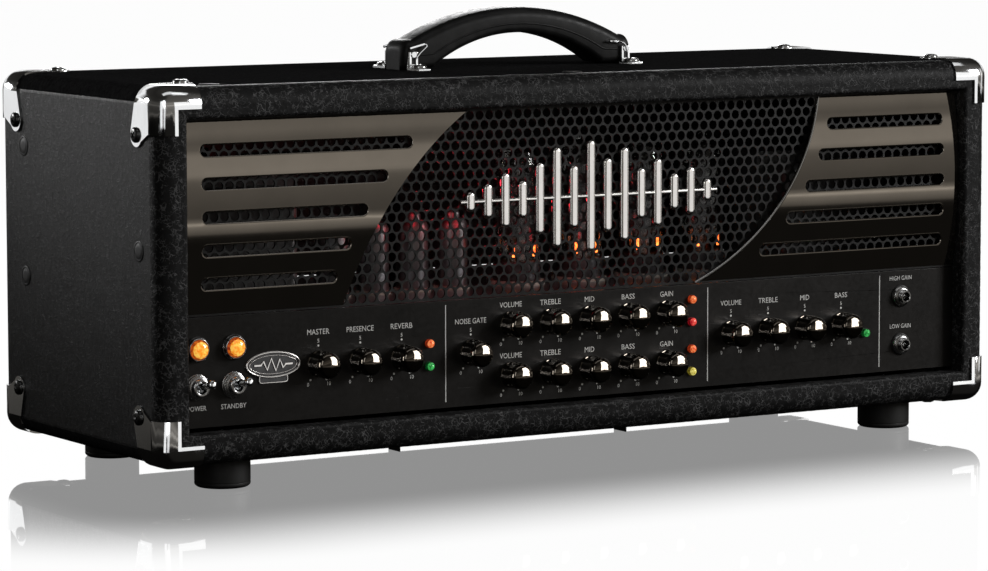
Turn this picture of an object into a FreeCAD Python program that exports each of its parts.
import FreeCAD
import Part
import math
import os
import re
import Sketcher

Vector = FreeCAD.Vector
Rotation = FreeCAD.Rotation

# Guitar amplifier head with valves (tubes): a wooden cabinet that holds a steel chassis.
# +X is to the right seen from the front, the front looks along -Y, +Z is up.
# The origin is on the floor below the middle of the whole object's box.
doc = FreeCAD.newDocument("amp_head")
sheet = doc.addObject("Spreadsheet::Sheet", "Dimensions")
nodes = {}


# ---------------------------------------------------------------- sizes
class Size:
    """A length that knows both its value and the expression that ties it to the sheet."""

    def __init__(self, text, value):
        self.text = text
        self.value = float(value)

    def __add__(self, other):
        other = as_size(other)
        return Size(f"({self.text} + {other.text})", self.value + other.value)

    def __sub__(self, other):
        other = as_size(other)
        return Size(f"({self.text} - {other.text})", self.value - other.value)

    def __mul__(self, other):
        other = as_size(other)
        return Size(f"({self.text} * {other.text})", self.value * other.value)

    def __truediv__(self, other):
        other = as_size(other)
        return Size(f"({self.text} / {other.text})", self.value / other.value)

    def __radd__(self, other):
        return as_size(other) + self

    def __rsub__(self, other):
        return as_size(other) - self

    def __rmul__(self, other):
        return as_size(other) * self

    def __neg__(self):
        return Size(f"(0 - {self.text})", -self.value)

    def root(self):
        return Size(f"sqrt({self.text})", math.sqrt(self.value))

    def __float__(self):
        return self.value


def as_size(value):
    return value if isinstance(value, Size) else Size(f"({value:.6f})", value)


def driving(alias, value):
    """Puts a driving dimension into the next row of the sheet."""
    row = driving.count = getattr(driving, "count", 0) + 1
    sheet.set(f"A{row}", alias.replace("_", " "))
    sheet.set(f"B{row}", str(value))
    sheet.setAlias(f"B{row}", alias)
    return Size(f"Dimensions.{alias}", value)


cab_width = driving("cab_width", 684)
cab_depth = driving("cab_depth", 244)
cab_height = driving("cab_height", 251)
foot_height = driving("foot_height", 20)
depth_shift = driving("depth_shift", 4.75)
edge_radius = driving("edge_radius", 12)
board = driving("board_thickness", 18)
frame_depth = driving("frame_depth", 13)
frame_side = driving("frame_side", 22)
frame_rail = driving("frame_rail", 21.5)
rabbet = driving("rear_rabbet", 9)
rear_recess = driving("rear_recess", 20)
plate_sheet = driving("plate_sheet", 1.5)
panel_bottom = driving("panel_bottom", 44)
panel_top = driving("panel_top", 118)
panel_sheet = driving("panel_sheet", 2)
panel_reach = driving("panel_half_width", 322)

corner_leg = driving("corner_leg", 31.6)
corner_face = driving("corner_face", 14.4)
corner_wrap = driving("corner_wrap", 30)
corner_sheet = driving("corner_sheet", 1.3)
corner_gap = driving("corner_gap", 0.1)
ear_radius = driving("ear_radius", 8)
ear_back = driving("ear_back", 29.2)
ear_down = driving("ear_down", 31.9)
screw_head = driving("screw_head_radius", 5.2)
screw_head_height = driving("screw_head_height", 2.4)
screw_shank = driving("screw_shank_radius", 1.9)
screw_length = driving("screw_length", 14)
hole_gap = driving("hole_gap", 0.05)

foot_radius = driving("foot_radius", 19)
foot_in_x = driving("foot_in_x", 65.6)
foot_in_y = driving("foot_in_y", 38.7)

knob_radius = driving("knob_radius", 9)
knob_length = driving("knob_length", 19)
knob_pitch = driving("knob_pitch", 32.4)
knob_row_middle = driving("knob_row_middle", 81.2)
knob_row_upper = driving("knob_row_upper", 99)
knob_row_lower = driving("knob_row_lower", 63.6)
flute_radius = driving("flute_radius", 7.8)
flute_depth = driving("flute_depth", 0.8)
flute_count = 8
shaft_radius = driving("shaft_radius", 3)
bush_radius = driving("bush_radius", 4)
shaft_gap = driving("shaft_gap", 0.05)

jack_bore = driving("jack_bore_radius", 3.2)
jack_bush = driving("jack_bush_radius", 4.75)
toggle_tilt = driving("toggle_tilt", 14.4)
grip_width = driving("grip_width", 30)
grip_outer = driving("grip_outer_radius", 186.5)
grip_outer_centre = driving("grip_outer_centre", 127)
grip_inner = driving("grip_inner_radius", 120.7)
grip_inner_centre = driving("grip_inner_centre", 174.6)
grip_half = driving("grip_half_length", 96)
pin_x = driving("handle_pin_x", 89)
pin_height = driving("handle_pin_height", 11)

wing_radius = driving("wing_bulge_radius", 372)
wing_sheet = driving("wing_sheet", 1.2)
slot_radius = driving("slot_radius", 3.7)
slot_pitch = driving("slot_pitch", 22.1)
slot_margin = driving("slot_margin", 12.5)
wing_middle = driving("wing_middle", 184)
wing_height = driving("wing_height", 128)
wing_rise = driving("wing_rise", 6.2)
left_arc_x = driving("left_arc_x", 24.7)
left_arc_z = driving("left_arc_z", 50.8)
left_arc_radius = driving("left_arc_radius", 232.7)
right_arc_x = driving("right_arc_x", 15.2)
right_arc_z = driving("right_arc_z", 289.1)
right_arc_radius = driving("right_arc_radius", 184.4)

hole_pitch = driving("grille_hole_pitch", 7.75)
hole_radius = driving("grille_hole_radius", 3.2)

# Places that follow from the driving dimensions.
cab_top = foot_height + cab_height
front_y = depth_shift - cab_depth / 2
back_y = depth_shift + cab_depth / 2
panel_y = front_y + frame_depth
rear_y = back_y - rear_recess
inner_x = cab_width / 2 - board
opening_x = cab_width / 2 - frame_side
opening_bottom = foot_height + frame_rail
opening_top = cab_top - frame_rail
deck_top = panel_top - 1.5
handle_middle = depth_shift - 3


# ---------------------------------------------------------------- helpers
def bind(thing, prop, value):
    """Sets a property, through an expression when the value comes from the sheet."""
    if isinstance(value, Size):
        thing.setExpression(prop, value.text)
    else:
        thing.setExpression(prop, f"{value}")


def place(thing, at):
    for letter, value in zip("xyz", at):
        bind(thing, f"Placement.Base.{letter}", value)


def box(name, xs, ys, zs):
    """A box between two values on each axis."""
    made = doc.addObject("Part::Box", name)
    for prop, (low, high) in zip(("Length", "Width", "Height"), (xs, ys, zs)):
        bind(made, prop, as_size(high) - low)
    place(made, (xs[0], ys[0], zs[0]))
    return made


AXIS_TURN = {
    "+Z": Rotation(Vector(0, 0, 1), 0),
    "-Z": Rotation(Vector(1, 0, 0), 180),
    "-Y": Rotation(Vector(1, 0, 0), 90),
    "+Y": Rotation(Vector(1, 0, 0), -90),
    "+X": Rotation(Vector(0, 1, 0), 90),
    "-X": Rotation(Vector(0, 1, 0), -90),
}


def rod(name, axis, radius, length, at):
    """A cylinder that starts at a point and runs along an axis."""
    made = doc.addObject("Part::Cylinder", name)
    bind(made, "Radius", radius)
    bind(made, "Height", length)
    made.Placement = FreeCAD.Placement(Vector(), AXIS_TURN[axis])
    place(made, at)
    return made


def cut(name, base, *tools):
    """The base less one or more tools."""
    made = doc.addObject("Part::Cut", name)
    made.Base = base
    made.Tool = tools[0] if len(tools) == 1 else group(name + "_tools", *tools)
    return made


def group(name, *members):
    made = doc.addObject("Part::Compound", name)
    made.Links = list(members)
    return made


def fuse(name, *members):
    made = doc.addObject("Part::MultiFuse", name)
    made.Shapes = list(members)
    made.Refine = True
    return made


def common(name, base, tool):
    made = doc.addObject("Part::Common", name)
    made.Base = base
    made.Tool = tool
    return made


def keep(label, thing):
    """Names a finished sub-part: its label is its node's name."""
    thing.Label = label
    nodes[label] = thing
    return thing


def origin_feature(body, role):
    """One of a body's own origin planes or axes."""
    return next(f for f in body.Origin.OriginFeatures if f.Role == role)


def new_sketch(body, name, role):
    sketch = body.newObject("Sketcher::SketchObject", name)
    sketch.AttachmentSupport = [(origin_feature(body, role), "")]
    sketch.MapMode = "FlatFace"
    return sketch


def pin_point(sketch, piece, point, across, up):
    """Ties one point of a sketch to the sketch's origin by its two coordinates."""
    for kind, value, axis in (("DistanceX", across, -2), ("DistanceY", up, -1)):
        value = as_size(value)
        if abs(value.value) < 1e-9:
            sketch.addConstraint(Sketcher.Constraint("PointOnObject", piece, point, axis))
            continue
        spot = Sketcher.Constraint(kind, -1, 1, piece, point, value.value)
        index = sketch.addConstraint(spot)
        sketch.setExpression(f"Constraints[{index}]", value.text)


def outline(sketch, corners):
    """A closed outline of straight lines through the corners."""
    flat = [Vector(as_size(a).value, as_size(b).value, 0) for a, b in corners]
    count = len(flat)
    for i in range(count):
        sketch.addGeometry(Part.LineSegment(flat[i], flat[(i + 1) % count]), False)
    for i in range(count):
        following = (i + 1) % count
        sketch.addConstraint(Sketcher.Constraint("Coincident", i, 2, following, 1))
    for i, (across, up) in enumerate(corners):
        pin_point(sketch, i, 1, across, up)


def circles(sketch, rings):
    """Circles, each given as centre across, centre up and radius."""
    for across, up, radius in rings:
        centre = Vector(as_size(across).value, as_size(up).value, 0)
        radius = as_size(radius)
        ring = sketch.addGeometry(Part.Circle(centre, Vector(0, 0, 1), radius.value), False)
        pin_point(sketch, ring, 3, across, up)
        index = sketch.addConstraint(Sketcher.Constraint("Radius", ring, radius.value))
        sketch.setExpression(f"Constraints[{index}]", radius.text)


def turned(name, corners, axis="+Z", at=(0, 0, 0)):
    """A body turned on a lathe: corners are (radius, height), the height runs along the axis."""
    body = doc.addObject("PartDesign::Body", name)
    sketch = new_sketch(body, name + "_profile", "XZ_Plane")
    outline(sketch, corners)
    turn = body.newObject("PartDesign::Revolution", name + "_turn")
    turn.Profile = sketch
    turn.ReferenceAxis = (sketch, ["V_Axis"])
    turn.Angle = 360
    body.Tip = turn
    body.Placement = FreeCAD.Placement(Vector(), AXIS_TURN[axis])
    place(body, at)
    return body


def flat_plate(name, role, corners, thickness, rings, at):
    """A sheet with round holes, drawn on an origin plane of its own body."""
    body = doc.addObject("PartDesign::Body", name)
    sketch = new_sketch(body, name + "_outline", role)
    outline(sketch, corners)
    pad = body.newObject("PartDesign::Pad", name + "_sheet")
    pad.Profile = sketch
    bind(pad, "Length", thickness)
    pad.Reversed = role == "XZ_Plane"
    body.Tip = pad
    if rings:
        doc.recompute()
        solid = pad.Shape.Volume
        holes = new_sketch(body, name + "_hole_centres", role)
        circles(holes, rings)
        pocket = body.newObject("PartDesign::Pocket", name + "_holes")
        pocket.Profile = holes
        pocket.Type = 1
        pocket.Midplane = True
        body.Tip = pocket
        doc.recompute()
        if pocket.Shape.Volume >= solid:
            raise RuntimeError(f"{name}: the holes cut nothing")
    place(body, at)
    return body


def copies_of(label, master, places):
    """Copies of a master body as separate solids; a place is a point and an axis."""
    doc.recompute()
    rest = master.Placement
    copies = []
    for at, axis in places:
        point = Vector(*[as_size(v).value for v in at])
        shape = master.Shape.copy()
        turn = FreeCAD.Placement(point, AXIS_TURN[axis])
        shape.Placement = turn.multiply(rest)
        copies.append(shape)
    made = doc.addObject("Part::Feature", label)
    made.Shape = Part.makeCompound(copies)
    made.Placement = FreeCAD.Placement()
    return made


def repeat(label, master, places):
    """Identical pieces that share one node."""
    return keep(label, copies_of(label, master, places))


def stadium(name, ends, middle, radius, ys, upright=False):
    """A bar with round ends, from one end to the other along X (or along Z when upright)."""
    low, high = as_size(ends[0]) + radius, as_size(ends[1]) - radius
    thick = as_size(ys[1]) - ys[0]
    sides = (as_size(middle) - radius, as_size(middle) + radius)
    if upright:
        body = box(name + "_bar", sides, ys, (low, high))
        centres = [(middle, ys[0], low), (middle, ys[0], high)]
    else:
        body = box(name + "_bar", (low, high), ys, sides)
        centres = [(low, ys[0], middle), (high, ys[0], middle)]
    caps = [rod(f"{name}_end{i}", "+Y", radius, thick, at) for i, at in enumerate(centres)]
    return fuse(name, body, *caps)


# ---------------------------------------------------------------- fasteners' places
def corner_signs():
    return [(sx, sy, sz) for sx in (-1, 1) for sy in (-1, 1) for sz in (-1, 1)]


def cabinet_point(sx, sy, sz, dx, dy, dz):
    """A point measured inwards from one of the cabinet's eight corners."""
    x = (cab_width / 2 - dx) * sx
    y = (front_y + dy) if sy < 0 else (back_y - dy)
    z = (foot_height + dz) if sz < 0 else (cab_top - dz)
    return (x, y, z)


def wood_screw_places():
    """Every wood screw: the point below its head, and the way its head looks."""
    sheet_face = -(corner_sheet + corner_gap)
    places = []
    for sx, sy, sz in corner_signs():
        side = cabinet_point(sx, sy, sz, sheet_face, ear_back, ear_down)
        places.append((side, "-X" if sx < 0 else "+X"))
        lid = cabinet_point(sx, sy, sz, ear_down, ear_back, sheet_face)
        places.append((lid, "-Z" if sz < 0 else "+Z"))
    for sx in (-1, 1):
        for sy in (-1, 1):
            places.append(((pin_x * sx, handle_middle + handle_foot_y * sy, cab_top + 2), "+Z"))
        for height in rear_screw_heights:
            places.append(((rear_screw_x * sx, rear_y + panel_sheet, height), "+Y"))
    return places


handle_foot_y = grip_width / 2 + 10
rear_screw_x = inner_x + rabbet / 2 - 1
rear_screw_heights = (50, 106, 132, 238)


# ---------------------------------------------------------------- cabinet
def rounded_block(name, grow):
    """The cabinet's outer form with every edge rounded, grown outwards by a small amount."""
    body = doc.addObject("PartDesign::Body", name)
    sketch = new_sketch(body, name + "_plan", "XY_Plane")
    half = cab_width / 2 + grow
    front, back = front_y - grow, back_y + grow
    outline(sketch, [(-half, front), (half, front), (half, back), (-half, back)])
    pad = body.newObject("PartDesign::Pad", name + "_pad")
    pad.Profile = sketch
    bind(pad, "Length", cab_height + as_size(grow) * 2)
    doc.recompute()
    soft = body.newObject("PartDesign::Fillet", name + "_edges")
    soft.Base = (pad, [f"Edge{i + 1}" for i in range(len(pad.Shape.Edges))])
    bind(soft, "Radius", edge_radius + grow)
    body.Tip = soft
    place(body, (0, 0, foot_height - grow))
    return body


def screw_holes():
    """Clearance holes for the wood screws and the foot screws, as one cutting tool."""
    tools = []
    for i, (at, axis) in enumerate(wood_screw_places()):
        back = {"+": "-", "-": "+"}[axis[0]] + axis[1]
        tools.append(rod(f"screw_hole{i}", back, screw_shank + hole_gap, screw_length + 1, at))
    for i, (x, y) in enumerate(foot_centres()):
        tools.append(rod(f"foot_hole{i}", "+Z", 2.5, board + foot_height + 1, (x, y, 0)))
    return group("screw_hole_tools", *tools)


def foot_centres():
    middle = (front_y + back_y) / 2
    reach = cab_depth / 2 - foot_in_y
    return [((cab_width / 2 - foot_in_x) * sx, middle + reach * sy)
            for sx in (-1, 1) for sy in (-1, 1)]


def build_cabinet():
    """Four boards butt together; the front frame's rails and stiles close their front ends."""
    form = rounded_block("cabinet_form", 0)
    holes = screw_holes()
    half = cab_width / 2
    wide = (-half - 1, half + 1)
    boards_y = (panel_y, back_y + 1)
    rails_y = (front_y - 1, panel_y)
    low, high = foot_height + board, cab_top - board
    regions = {
        "top_board": (wide, boards_y, (high, cab_top + 1)),
        "bottom_board": (wide, boards_y, (foot_height - 1, low)),
        "left_side_board": ((-half - 1, -inner_x), boards_y, (low, high)),
        "right_side_board": ((inner_x, half + 1), boards_y, (low, high)),
        "frame_top_rail": (wide, rails_y, (opening_top, cab_top + 1)),
        "frame_bottom_rail": (wide, rails_y, (foot_height - 1, opening_bottom)),
        "frame_left_stile": ((-half - 1, -opening_x), rails_y, (opening_bottom, opening_top)),
        "frame_right_stile": ((opening_x, half + 1), rails_y, (opening_bottom, opening_top)),
    }
    step_x = (inner_x - 1, inner_x + rabbet)
    for label, region in regions.items():
        piece = common(label + "_blank", form, box(label + "_region", *region))
        if label.endswith("side_board"):
            xs = step_x if "right" in label else (-step_x[1], -step_x[0])
            step = box(label + "_rabbet", xs, (rear_y, back_y + 2), (low - 1, high + 1))
            piece = cut(label + "_rabbeted", piece, step)
        if label.endswith("board"):
            piece = cut(label + "_drilled", piece, holes)
        keep(label, piece)


def ear_tool(name, flat_axis):
    """The outline of a corner protector's ear, as a prism through its face, front top left corner."""
    along, across = (ear_back, ear_down) if flat_axis == "X" else (ear_down, ear_back)
    if flat_axis == "X":
        at = cabinet_point(-1, -1, 1, 4, along, across)
        lobe = rod(name + "_lobe", "-X", ear_radius, 8, at)
    else:
        at = cabinet_point(-1, -1, 1, along, across, 4)
        lobe = rod(name + "_lobe", "+Z", ear_radius, 8, at)
    return lobe


def ear_web(name, flat_axis):
    """The flat web between the cabinet's edges and the ear's round lobe."""
    body = doc.addObject("PartDesign::Body", name)
    role = "YZ_Plane" if flat_axis == "X" else "XY_Plane"
    sketch = new_sketch(body, name + "_outline", role)
    lean = ear_radius * 0.97
    if flat_axis == "X":
        corners = [
            (front_y - 2, cab_top + 2),
            (front_y + corner_wrap, cab_top + 2),
            (front_y + corner_wrap, cab_top - 6),
            (front_y + ear_back + lean, cab_top - ear_down + 2),
            (front_y + ear_back, cab_top - ear_down - lean),
            (front_y + 12, cab_top - ear_down + 1),
            (front_y - 2, cab_top - ear_down + 1),
        ]
        start = (-cab_width / 2 - 4, 0, 0)
    else:
        left = -cab_width / 2
        corners = [
            (left - 2, front_y - 2),
            (left + ear_down - 1, front_y - 2),
            (left + ear_down - 1, front_y + 12),
            (left + ear_down + lean * 0.6, front_y + ear_back - lean * 0.8),
            (left + ear_down - 2, front_y + ear_back + lean),
            (left + 6, front_y + corner_wrap),
            (left - 2, front_y + corner_wrap),
        ]
        start = (0, 0, cab_top - 4)
    outline(sketch, corners)
    pad = body.newObject("PartDesign::Pad", name + "_pad")
    pad.Profile = sketch
    bind(pad, "Length", 8)
    body.Tip = pad
    place(body, start)
    return body


def build_corner_protectors():
    """Eight pressed steel corners: one is cut from a thin skin round the cabinet, then mirrored."""
    inner = rounded_block("skin_inside", corner_gap)
    outer = rounded_block("skin_outside", corner_gap + corner_sheet)
    skin = cut("skin", outer, inner)

    def region(name, dx, dy, dz):
        x0, y0, z0 = cabinet_point(-1, -1, 1, -3, -3, -3)
        x1, y1, z1 = cabinet_point(-1, -1, 1, dx, dy, dz)
        return box(name, (x0, x1), (y0, y1), (z1, z0))

    wrap = edge_radius
    covered = fuse(
        "corner_cover",
        region("corner_upright_leg", corner_face, wrap, corner_leg),
        region("corner_level_leg", corner_leg, wrap, corner_face),
        region("corner_side_leg", wrap, corner_wrap, wrap),
        ear_tool("side_ear", "X"),
        ear_web("side_web", "X"),
        ear_tool("lid_ear", "Z"),
        ear_web("lid_web", "Z"),
    )
    drill = group(
        "corner_drill",
        rod("side_drill", "-X", screw_shank + hole_gap, 9,
            cabinet_point(-1, -1, 1, 4, ear_back, ear_down)),
        rod("lid_drill", "+Z", screw_shank + hole_gap, 9,
            cabinet_point(-1, -1, 1, ear_down, ear_back, 4)),
    )
    pressed = cut("corner_pressed", common("corner_skin", skin, covered), drill)
    middles = {
        "x": (Vector(1, 0, 0), Vector(0, 0, 0)),
        "y": (Vector(0, 1, 0), Vector(0, depth_shift.value, 0)),
        "z": (Vector(0, 0, 1), Vector(0, 0, (foot_height + cab_height / 2).value)),
    }
    corners = [pressed]
    for letter, (normal, base) in middles.items():
        for i, earlier in enumerate(list(corners)):
            flipped = doc.addObject("Part::Mirroring", f"corner_{letter}{i}")
            flipped.Source = earlier
            flipped.Normal = normal
            flipped.Base = base
            corners.append(flipped)
    keep("corner_protectors", group("corner_protectors", *corners))


def build_screws():
    """Pan-head wood screws, and the longer screws through the feet."""
    head, tall = screw_head, screw_head_height
    master = turned("wood_screw", [
        (0, -screw_length), (screw_shank * 0.4, -screw_length), (screw_shank, -screw_length + 4),
        (screw_shank, 0), (head, 0), (head, tall * 0.35), (head * 0.82, tall * 0.78),
        (head * 0.45, tall), (0, tall),
    ])
    repeat("wood_screws", master, wood_screw_places())
    long_screw = turned("foot_screw", [
        (0, 0), (5, 0), (5, 3.5), (2.45, 3.5), (2.45, foot_height + board - 10),
        (0, foot_height + board - 8),
    ])
    repeat("foot_screws", long_screw, [((x, y, 8.5), "+Z") for x, y in foot_centres()])


def build_feet():
    """Plain rubber cylinders, hollow below so that the screw's head is sunk."""
    edge = 1.5
    master = turned("foot", [
        (2.5, 12), (6.5, 12), (6.5, 0), (foot_radius - edge, 0), (foot_radius, edge),
        (foot_radius, foot_height), (2.5, foot_height),
    ])
    repeat("feet", master, [((x, y, 0), "+Z") for x, y in foot_centres()])


# ---------------------------------------------------------------- handle
def build_handle():
    """A moulded rubber grip, held at each end by a steel bracket with a cross pin."""
    half_w = grip_width / 2
    base = cab_top + 1.2
    ys = (handle_middle - half_w, handle_middle + half_w)
    thick = grip_width
    arch = rod("grip_outer_arc", "+Y", grip_outer, thick, (0, ys[0], grip_outer_centre))
    window = box("grip_window", (-grip_half, grip_half), ys, (base, cab_top + 60))
    bow = common("grip_bow", arch, window)
    drums = []
    for side, sx in (("left", -1), ("right", 1)):
        end_x = grip_half * sx
        start_x = (grip_half - 16) * sx
        low, high = (end_x, start_x) if sx < 0 else (start_x, end_x)
        block = box(f"grip_{side}_end", (low, high), ys, (base, base + 12))
        lobe = rod(f"grip_{side}_lobe", "+Y", 8, thick, ((grip_half - 8) * sx, ys[0], base + 12.2))
        drums += [block, lobe]
    solid = fuse("grip_solid", bow, *drums)
    hollow = rod("grip_inner_arc", "+Y", grip_inner, thick + 2, (0, ys[0] - 1, grip_inner_centre))
    pin_z = cab_top + pin_height
    pin_holes = [rod(f"grip_pin_hole{i}", "+Y", 2.55, thick + 2, (pin_x * sx, ys[0] - 1, pin_z))
                 for i, sx in enumerate((-1, 1))]
    keep("handle_grip", cut("grip_hollowed", solid, hollow, *pin_holes))

    brackets = []
    for side, sx in (("left", -1), ("right", 1)):
        x0, x1 = pin_x * sx - 5.5, pin_x * sx + 5.5
        members = [rod(f"{side}_pin", "+Y", 2.5, thick + 8, (pin_x * sx, ys[0] - 4, pin_z))]
        for end, sy in (("front", -1), ("rear", 1)):
            face = handle_middle + (half_w + 0.5) * sy
            leg = sorted((face, face + 2.0 * sy), key=float)
            toe = sorted((face, face + 17.0 * sy), key=float)
            name = f"{side}_{end}"
            members.append(box(name + "_leg", (x0 + 2, x1 - 2), leg, (cab_top, pin_z)))
            members.append(rod(name + "_crown", "+Y", 4.2, 2, (pin_x * sx, leg[0], pin_z)))
            members.append(box(name + "_toe", (x0, x1), toe, (cab_top, cab_top + 2)))
        bracket = fuse(side + "_bracket_blank", *members)
        drills = [rod(f"{side}_toe_hole{i}", "+Z", screw_shank + hole_gap, 4,
                      (pin_x * sx, handle_middle + handle_foot_y * sy, cab_top - 1))
                  for i, sy in enumerate((-1, 1))]
        brackets.append(cut(side + "_bracket", bracket, *drills))
    keep("handle_brackets", group("handle_brackets", *brackets))


# ---------------------------------------------------------------- front
def build_grille():
    """The perforated sheet behind the frame: round holes on a triangular lattice."""
    low, high = (panel_top + 0.5).value, (cab_top - board).value - 0.5
    half = inner_x.value - 0.5
    rim = 4.0
    outer = Part.makePolygon([
        Vector(-half, 0, low), Vector(half, 0, low), Vector(half, 0, high),
        Vector(-half, 0, high), Vector(-half, 0, low),
    ])
    wires = [outer]
    pitch = hole_pitch.value
    rise = pitch * math.sqrt(3) / 2
    first = (panel_top.value + opening_top.value) / 2
    rows = int((high - low) / 2 / rise) + 1
    reach = half - rim
    for row in range(-rows, rows + 1):
        z = first + row * rise
        if z - rim < low or z + rim > high:
            continue
        offset = pitch / 2 if row % 2 else 0.0
        steps = int((reach - offset) / pitch)
        for step in range(-steps - (1 if offset else 0), steps + 1):
            x = offset + step * pitch
            if abs(x) > reach:
                continue
            ring = Part.Circle(Vector(x, 0, z), Vector(0, 1, 0), hole_radius.value)
            wires.append(Part.Wire([ring.toShape()]))
    face = Part.makeFace(wires, "Part::FaceMakerBullseye")
    made = doc.addObject("Part::Feature", "mesh_grille")
    made.Shape = face.extrude(Vector(0, plate_sheet.value, 0))
    made.Placement = FreeCAD.Placement(Vector(0, panel_y.value, 0), Rotation())
    keep("mesh_grille", made)


def build_wing_plates():
    """Two bowed, polished sheets with five slots each; each ends in a round arc."""
    edges = {
        "left_wing_plate": (-1, left_arc_x, left_arc_z, left_arc_radius),
        "right_wing_plate": (1, right_arc_x, right_arc_z, right_arc_radius),
    }
    gap = 0.8
    crest = panel_y - wing_rise
    bottom, top = wing_middle - wing_height / 2, wing_middle + wing_height / 2
    for label, (sx, arc_x, arc_z, arc_r) in edges.items():
        far = opening_x - gap
        xs = (-far, -90) if sx < 0 else (90, far)
        width = as_size(xs[1]) - xs[0]
        centre = (xs[0], crest + wing_radius, wing_middle)
        skin = cut(label + "_skin",
                   rod(label + "_outside", "+X", wing_radius, width, centre),
                   rod(label + "_inside", "+X", wing_radius - wing_sheet, width, centre))
        window = box(label + "_window", xs, (crest - 1, panel_y - 0.4), (bottom, top))
        sheet_part = common(label + "_sheet", skin, window)
        tools = [rod(label + "_arc", "+Y", arc_r, 40, (arc_x, panel_y - 20, arc_z))]
        for i in range(-2, 3):
            z = wing_middle + slot_pitch * i
            away = ((arc_r + slot_margin) * (arc_r + slot_margin) - (z - arc_z) * (z - arc_z)).root()
            outer_end = (opening_x - 14) * sx
            inner_end = arc_x + away * sx
            ends = (outer_end, inner_end) if sx < 0 else (inner_end, outer_end)
            tools.append(stadium(f"{label}_slot{i + 2}", ends, z, slot_radius,
                                 (panel_y - 20, panel_y + 20)))
        keep(label, cut(label + "_cut", sheet_part, *tools))


def build_emblem():
    """A generic sound-wave badge: upright round-ended bars on a thin rail."""
    bars = []
    ys = (panel_y - 4.0, panel_y - 1.0)
    middle_z, count, pitch = 185.0, 15, 14.0
    heights = [14, 24, 38, 26, 50, 70, 44, 78, 52, 66, 36, 48, 26, 34, 16]
    for i in range(count):
        x = (i - (count - 1) / 2) * pitch
        reach = heights[i] / 2
        ends = (middle_z - reach, middle_z + reach)
        bars.append(stadium(f"wave_bar{i}", ends, x, 3.4, ys, upright=True))
    span = (count - 1) / 2 * pitch + 8
    rail = stadium("wave_rail", (-span, span), middle_z, 1.6, (panel_y - 3.4, panel_y - 1.4))
    posts = [rod(f"wave_post{i}", "+Y", 2, 1.2, (x, panel_y - 1.2, middle_z))
             for i, x in enumerate((-70, 0, 70))]
    keep("emblem", fuse("emblem", rail, *bars, *posts))


# Columns of the controls along X, in steps of the knob pitch from the first of each group.
master_x, gate_x, channel_x, clean_x = -216.4, -96.6, -64.2, 120.8
knob_spots = {}
for i, name in enumerate(("master", "presence", "reverb")):
    knob_spots[name] = (master_x + knob_pitch * i, knob_row_middle)
knob_spots["noise_gate"] = (as_size(gate_x), knob_row_middle)
for i, name in enumerate(("volume", "treble", "mid", "bass", "gain")):
    knob_spots["lead_" + name] = (channel_x + knob_pitch * i, knob_row_upper)
    knob_spots["crunch_" + name] = (channel_x + knob_pitch * i, knob_row_lower)
for i, name in enumerate(("volume", "treble", "mid", "bass")):
    knob_spots["clean_" + name] = (clean_x + knob_pitch * i, knob_row_middle)

jewel_spots = [(-308.5, 96.7), (-281.0, 96.7)]
toggle_spots = {"power": (-308.5, 71.3), "standby": (-281.0, 71.3)}
led_spots = [(-130, 89.5), (-130, 73.9), (239.5, 74)]
led_spots += [(86.5, height) for height in (107.4, 91.4, 72.1, 56)]
jack_spots = [(272, 99.1), (272, 63.7)]
selector_spot = (60, 79)
rear_jack_spots = [(x, 79) for x in (-200, -165, -130, -20, 15)]
inlet_x, inlet_z = 250, 79


def build_panel():
    """The front control panel with a hole for everything that is mounted on it."""
    rings = [(x, z, bush_radius + 0.1) for x, z in knob_spots.values()]
    rings += [(x, z, 5.9) for x, z in jewel_spots]
    rings += [(x, z, 6.1) for x, z in toggle_spots.values()]
    rings += [(x, z, 2.6) for x, z in led_spots]
    rings += [(x, z, jack_bush + 0.1) for x, z in jack_spots]
    corners = [(-panel_reach, panel_bottom), (panel_reach, panel_bottom),
               (panel_reach, panel_top), (-panel_reach, panel_top)]
    panel = flat_plate("control_panel", "XZ_Plane", corners, panel_sheet, rings, (0, panel_y, 0))
    keep("control_panel", panel)


def build_badge():
    """A blank oval badge with a small tab below it."""
    centre = Vector(-251.3, 0, 83.0)
    ring = Part.Ellipse(centre + Vector(21, 0, 0), centre + Vector(0, 0, 9.2), centre)
    oval = Part.Face(Part.Wire([ring.toShape()])).extrude(Vector(0, -1.6, 0))
    tab = Part.makeBox(22, 1.2, 5, centre + Vector(-11, -1.2, -12.3))
    made = doc.addObject("Part::Feature", "oval_badge")
    made.Shape = oval.fuse(tab).removeSplitter()
    made.Placement = FreeCAD.Placement(Vector(0, panel_y.value, 0), Rotation())
    keep("oval_badge", made)


def knob_profile():
    """Half a section of a knob and its shaft; height zero is the panel's front."""
    rim = knob_radius
    tip = knob_length
    return [
        (0, -12), (shaft_radius, -12), (shaft_radius, 7.2), (7, 7.2), (7, 1.2), (rim - 0.4, 1.2),
        (rim, 1.7), (rim, tip - 1.8), (rim - 1.4, tip), (rim - 3.4, tip), (rim - 4.4, tip - 0.8),
        (0, tip - 0.8),
    ]


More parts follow.
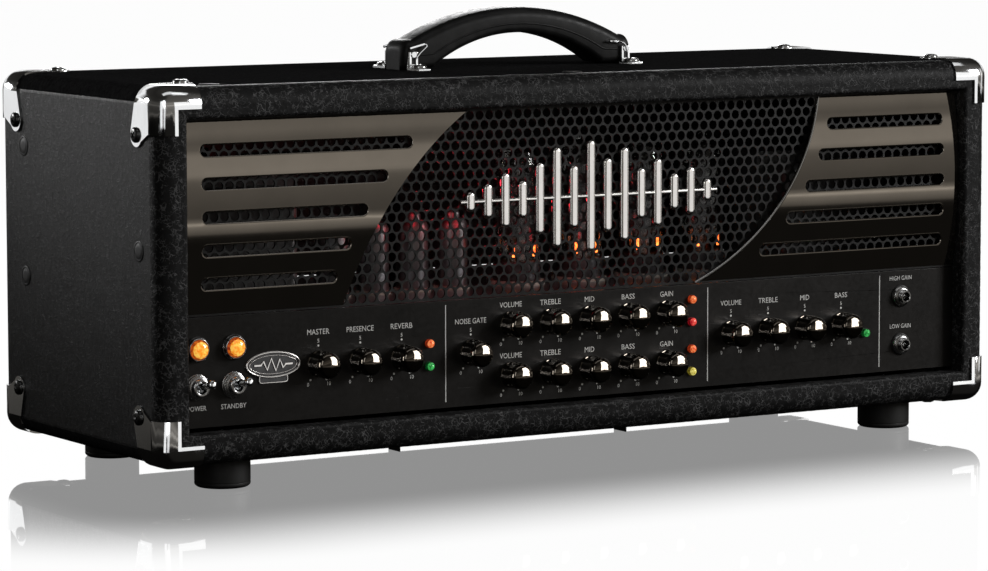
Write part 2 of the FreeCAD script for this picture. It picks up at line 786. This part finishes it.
def build_knob(label, at, axis, up):
    """A knob with eight wide flutes and a raised pointer; its shaft turns in the control's bush."""
    body = turned(label + "_body", knob_profile(), axis, at)
    doc.recompute()
    before = body.Shape.Volume
    sketch = new_sketch(body, label + "_flute_outline", "XY_Plane")
    reach = knob_radius + flute_radius - flute_depth
    half_step = math.radians(180 / flute_count)
    circles(sketch, [(reach * math.cos(half_step), reach * math.sin(half_step), flute_radius)])
    flute = body.newObject("PartDesign::Pocket", label + "_flute")
    flute.Profile = sketch
    flute.Reversed = True
    bind(flute, "Length", knob_length - 2.5)
    body.Tip = flute
    doc.recompute()
    ring = body.newObject("PartDesign::PolarPattern", label + "_flutes")
    ring.Originals = [flute]
    ring.Axis = (origin_feature(body, "Z_Axis"), [""])
    ring.Angle = 360
    ring.Occurrences = flute_count
    body.Tip = ring
    doc.recompute()
    if body.Shape.Volume >= before - 1:
        raise RuntimeError(f"{label}: the flutes cut nothing")
    mark = new_sketch(body, label + "_pointer_outline", "XY_Plane")
    mark.AttachmentOffset = FreeCAD.Placement(Vector(0, 0, 1.7), Rotation())
    root, proud, half = (knob_radius - 1.5) * up, (knob_radius + 0.5) * up, 0.7
    outline(mark, [(-half, root), (half, root), (half, proud), (-half, proud)])
    pointer = body.newObject("PartDesign::Pad", label + "_pointer")
    pointer.Profile = mark
    bind(pointer, "Length", knob_length - 3.5)
    body.Tip = pointer
    keep(label, body)


def build_knobs():
    for name, (x, z) in knob_spots.items():
        build_knob("knob_" + name, (x, panel_y, z), "-Y", 1)
    x, z = selector_spot
    build_knob("impedance_selector_knob", (x, rear_y + panel_sheet, z), "+Y", -1)


def build_controls():
    """The potentiometers' bodies, each with its threaded bush and nut, and the rear selector's."""
    bore = shaft_radius + shaft_gap
    master = turned("control_body", [
        (0, -14.5), (8.2, -14.5), (8.2, -panel_sheet), (bush_radius, -panel_sheet),
        (bush_radius, 0), (6.2, 0), (6.2, 2.2), (bush_radius, 2.2), (bush_radius, 5), (bore, 5),
        (bore, -12.3), (0, -12.3),
    ])
    places = [((x, panel_y, z), "-Y") for x, z in knob_spots.values()]
    x, z = selector_spot
    places.append(((x, rear_y + panel_sheet, z), "+Y"))
    repeat("rotary_control_bodies", master, places)


def build_jewels():
    """Two jewelled pilot lamps: a bright bezel with a lamp holder, and a faceted dome."""
    bezel = turned("jewel_bezel", [
        (0, -20), (5.8, -20), (5.8, 0), (8.7, 0), (8.7, 2.2), (7.6, 4.6), (6.7, 4.6), (6.7, 2.4),
        (0, 2.4),
    ])
    lens = turned("jewel_lens", [(0, 2.5), (6.6, 2.5), (6.6, 5), (5.7, 7), (3.6, 8.4), (0, 9)])
    places = [((x, panel_y, z), "-Y") for x, z in jewel_spots]
    repeat("jewel_bezels", bezel, places)
    repeat("jewel_lenses", lens, places)


toggle_pivot = 4.5


def build_toggles():
    """Power and standby switches: a boxed body with a bush and nut, and a lever on a cross pin."""
    bodies = []
    for name, (x, z) in toggle_spots.items():
        case = box(name + "_case", (x - 6.5, x + 6.5), (panel_y + panel_sheet, panel_y + 24),
                   (z - 13, z + 13))
        bush = rod(name + "_bush", "-Y", 6, 8 + panel_sheet, (x, panel_y + panel_sheet, z))
        nut = rod(name + "_nut", "-Y", 9, 2.4, (x, panel_y, z))
        collar = rod(name + "_collar", "-Y", 7.4, 4.2, (x, panel_y, z))
        solid = fuse(name + "_solid", case, bush, nut, collar)
        bore = rod(name + "_bore", "-Y", 3.7, 22, (x, panel_y + 13, z))
        pin_hole = rod(name + "_pin_hole", "+X", 0.95, 9.4, (x - 4.7, panel_y - toggle_pivot, z))
        bodies.append(cut(name + "_switch", solid, bore, pin_hole))
        lever = turned(name + "_stick", [
            (0, -6), (1.2, -6), (1.2, -3.2), (3.2, -1.4), (3.2, 1.4), (1.5, 3.4), (2.3, 14.5),
            (3.0, 16), (3.2, 17.6), (2.4, 19.4), (0, 20),
        ])
        pin = rod(name + "_pin", "+X", 0.9, 9, (-4.5, 0, 0))
        made = fuse(name + "_lever", lever, pin)
        place(made, (x, panel_y - toggle_pivot, z))
        made.Placement = FreeCAD.Placement(Vector(), Rotation(Vector(1, 0, 0), 90 - toggle_tilt.value))
        place(made, (x, panel_y - toggle_pivot, z))
        keep(name + "_toggle_lever", made)
    keep("toggle_switch_bodies", group("toggle_switch_bodies", *bodies))


def build_leds_and_jacks():
    """Channel lights, the two input sockets, and the same sockets on the rear panel."""
    led = turned("indicator_light", [
        (0, -6), (2.5, -6), (2.5, 0), (3.1, 0), (3.1, 1.6), (2.7, 3.2), (1.7, 4.4), (0, 4.9),
    ])
    repeat("indicator_lights", led, [((x, panel_y, z), "-Y") for x, z in led_spots])
    jack = turned("jack_socket", [
        (jack_bore, -22), (8, -22), (8, -panel_sheet), (jack_bush, -panel_sheet), (jack_bush, 0),
        (8.2, 0), (8.2, 1.4), (6.2, 3.4), (jack_bush, 3.6), (jack_bush, 7), (jack_bore, 7),
    ])
    repeat("input_jacks", jack, [((x, panel_y, z), "-Y") for x, z in jack_spots])
    rear_face = rear_y + panel_sheet
    repeat("rear_jacks", jack, [((x, rear_face, z), "+Y") for x, z in rear_jack_spots])


# ---------------------------------------------------------------- chassis
power_tube_x = (-7, 46, 99, 152)
preamp_tube_x = (-160, -128, -96, -64)
tube_y, preamp_y = -20, -24


def build_chassis():
    """A deck that carries the valves, two end brackets, and the rear panel with its sockets."""
    half = inner_x - 2
    front, back = panel_y + panel_sheet, rear_y
    rings = [(x, tube_y, 14.5) for x in power_tube_x]
    rings += [(x, preamp_y, 10.5) for x in preamp_tube_x]
    corners = [(-half, front), (half, front), (half, back), (-half, back)]
    deck = flat_plate("chassis_deck", "XY_Plane", corners, plate_sheet, rings,
                      (0, 0, deck_top - plate_sheet))
    keep("chassis_deck", deck)

    ends = []
    floor = foot_height + board
    for side, sx in (("left", -1), ("right", 1)):
        wall = sorted(((half - 1.5) * sx, half * sx), key=float)
        flange = sorted(((half - 18) * sx, half * sx), key=float)
        ys = (front + 22.5, back)
        ends.append(fuse(f"{side}_chassis_end",
                         box(side + "_wall", wall, ys, (floor, deck_top - plate_sheet)),
                         box(side + "_flange", flange, ys, (floor, floor + 1.5))))
    keep("chassis_ends", group("chassis_ends", *ends))

    rear_half = inner_x + rabbet - 0.5
    jack_hole = jack_bush + 0.1
    rings = [(x, z, jack_hole) for x, z in rear_jack_spots]
    rings += [(selector_spot[0], selector_spot[1], bush_radius + 0.1)]
    rings += [(rear_screw_x * sx, height, screw_shank + hole_gap)
              for sx in (-1, 1) for height in rear_screw_heights[:2]]
    corners = [(-rear_half, floor + 0.5), (rear_half, floor + 0.5),
               (rear_half, deck_top), (-rear_half, deck_top)]
    panel = flat_plate("chassis_rear_panel_blank", "XZ_Plane", corners, panel_sheet, rings,
                       (0, rear_y, 0))
    window = box("inlet_window", (inlet_x - 14, inlet_x + 14), (rear_y - 5, rear_y + 5),
                 (inlet_z - 24, inlet_z + 24))
    keep("chassis_rear_panel", cut("rear_panel_cut", panel, window))


def build_rear_grille():
    """A steel cover over the valves: rows of slots, each below a pressed hood that opens downwards."""
    half = inner_x + rabbet - 0.5
    face = rear_y + panel_sheet
    low, high = deck_top + 0.5, cab_top - board - 0.5
    blank = box("rear_grille_blank", (-half, half), (rear_y, face), (low, high))
    reach, wall, proud = 48, 1.2, 5.5
    columns, rows, column_pitch, row_pitch, first_row = 5, 8, 118, 14, 140
    hoods, hollows, slots = [], [], []
    for column in range(columns):
        middle = (column - (columns - 1) / 2) * column_pitch
        ends = (middle - reach, middle + reach)
        for row in range(rows):
            z = first_row + row * row_pitch
            name = f"vent{column}_{row}"
            slots.append(box(name, ends, (rear_y - 3, face + 1), (z - 3, z + 3)))
            hoods.append(box(name + "_hood", (ends[0] - wall, ends[1] + wall), (rear_y + 0.5, face + proud),
                             (z - 3.6, z + 3 + wall)))
            hollows.append(box(name + "_hollow", ends, (face, face + proud - wall), (z - 5, z + 3)))
    for i, sx in enumerate((-1, 1)):
        for j, height in enumerate(rear_screw_heights[2:]):
            slots.append(rod(f"vent_screw{i}{j}", "+Y", screw_shank + hole_gap, 6,
                             (rear_screw_x * sx, rear_y - 2, height)))
    hooded = fuse("rear_grille_hooded", blank, *hoods)
    keep("rear_grille", cut("rear_grille_cut", hooded, *slots, *hollows))


def build_inlet():
    """The three-pin mains inlet with its fuse drawer, a flange on the rear panel."""
    face = rear_y + panel_sheet
    body = box("inlet_body", (inlet_x - 13.5, inlet_x + 13.5), (face - 24, face),
               (inlet_z - 23.5, inlet_z + 23.5))
    flange = box("inlet_flange", (inlet_x - 25, inlet_x + 25), (face, face + 2.5),
                 (inlet_z - 27, inlet_z + 27))
    solid = fuse("inlet_solid", body, flange)
    well = box("inlet_well", (inlet_x - 12, inlet_x + 12), (face - 14, face + 3),
               (inlet_z - 2, inlet_z + 16))
    hollow = cut("inlet_hollow", solid, well)
    blades = [box(f"blade{i}", (inlet_x + x - 1, inlet_x + x + 1), (face - 15, face - 2),
                  (inlet_z + z - 2, inlet_z + z + 2))
              for i, (x, z) in enumerate(((-7, 5), (0, 9), (7, 5)))]
    drawer = box("fuse_drawer", (inlet_x - 9, inlet_x + 9), (face + 2, face + 4),
                 (inlet_z - 20, inlet_z - 7))
    keep("mains_inlet", fuse("mains_inlet", hollow, *blades, drawer))


def build_tubes():
    """Output valves with glass envelopes round their plates, and screened preamp valves."""
    socket = turned("octal_socket", [
        (0, -10), (13, -10), (13, 0), (20, 0), (20, 3), (0, 3),
    ])
    small = turned("noval_socket", [(0, -10), (9.5, -10), (9.5, 0), (13, 0), (13, 2.5), (0, 2.5)])
    sockets = [((x, tube_y, deck_top), "+Z") for x in power_tube_x]
    small_places = [((x, preamp_y, deck_top), "+Z") for x in preamp_tube_x]
    keep("tube_sockets", group(
        "tube_sockets",
        copies_of("octal_sockets", socket, sockets),
        copies_of("noval_sockets", small, small_places),
    ))

    stem = turned("power_stem", [
        (0, 3), (17, 3), (17, 17), (6, 17), (6, 32), (10.5, 32), (10.5, 78), (6, 78), (6, 84),
        (0, 84),
    ])
    repeat("power_tube_stems", stem, sockets)
    glass = turned("power_glass", [
        (15.4, 17), (16.6, 17), (16.6, 86), (14.5, 95), (8, 101), (0, 103), (0, 101.8),
        (7.4, 99.8), (13.4, 94.2), (15.4, 85.6),
    ])
    repeat("power_tube_envelopes", glass, sockets)
    can = turned("preamp_can", [
        (0, 2.5), (11.5, 2.5), (11.5, 46), (9.5, 50), (6, 50.5), (6, 54), (4, 57), (0, 57.5),
    ])
    repeat("preamp_tubes", can, small_places)


def build_transformer(label, x, size, stack):
    """Laminations between two bell covers, on a foot plate screwed to the deck."""
    width, depth, height = size
    middle = depth_shift.value - 4
    base = deck_top + 2
    left, right = x - width / 2, x + width / 2
    front, back = middle - depth / 2, middle + depth / 2
    foot = box(label + "_foot", (left, right), (front - 6, back + 6), (deck_top, base))
    core = box(label + "_core", (left, right), (middle - stack / 2, middle + stack / 2),
               (base, base + height))
    bell = box(label + "_bell", (left + 9, right - 9), (front, back), (base, base + height - 9))
    doc.recompute()
    soft = doc.addObject("Part::Fillet", label + "_bell_soft")
    soft.Base = bell
    tall = [i + 1 for i, e in enumerate(bell.Shape.Edges) if abs(e.BoundBox.ZLength) > 1]
    crown = [i + 1 for i, e in enumerate(bell.Shape.Edges)
             if e.BoundBox.ZLength < 1 and e.BoundBox.ZMin > (base + height - 10).value]
    soft.Edges = [(i, 7.0, 7.0) for i in tall + crown]
    keep(label, fuse(label, foot, core, soft))


def build_board():
    """The main circuit board on standoffs, with its row of reservoir capacitors."""
    floor = foot_height + board
    level = floor + 14
    xs, ys = (-270, 190), (panel_y + 42, rear_y - 34)
    members = [box("board_sheet", xs, ys, (level, level + 1.6))]
    for i, x in enumerate((-260, -40, 180)):
        for j, y in enumerate((ys[0] + 8, ys[1] - 8)):
            members.append(rod(f"standoff{i}{j}", "+Z", 3.5, 14.5, (x, y, floor)))
    for i in range(6):
        x = -230 + i * 40
        members.append(rod(f"capacitor{i}", "+Z", 13, 36, (x, rear_y - 70, level + 1.5)))
    keep("circuit_board", fuse("circuit_board", *members))


# ---------------------------------------------------------------- build and write
build_cabinet()
build_corner_protectors()
build_screws()
build_feet()
build_handle()
build_grille()
build_wing_plates()
build_emblem()
build_panel()
build_badge()
build_knobs()
build_controls()
build_jewels()
build_toggles()
build_leds_and_jacks()
build_chassis()
build_rear_grille()
build_inlet()
build_tubes()
build_transformer("power_transformer", -240, (104, 92, 86), 40)
build_transformer("output_transformer", 252, (96, 84, 84), 36)
build_board()
doc.recompute()

for thing in doc.Objects:
    if {"Invalid", "Error"} & set(thing.State):
        raise RuntimeError(f"{thing.Label} did not compute: {thing.State}")
for label, thing in nodes.items():
    shape = thing.Shape
    if shape.isNull() or not shape.isValid() or not shape.Solids:
        raise RuntimeError(f"{label} has no valid solid")
    if not re.fullmatch(r"[a-z0-9_]+", label) or thing.Label != label:
        raise RuntimeError(f"{label} is not a plain name, or is taken: {thing.Label}")

os.makedirs("parts", exist_ok=True)
for label, thing in nodes.items():
    thing.Shape.exportStep(f"parts/{label}.step")

whole = FreeCAD.BoundBox()
for thing in nodes.values():
    whole.add(thing.Shape.BoundBox)
print(f"{len(nodes)} nodes, box {whole}")
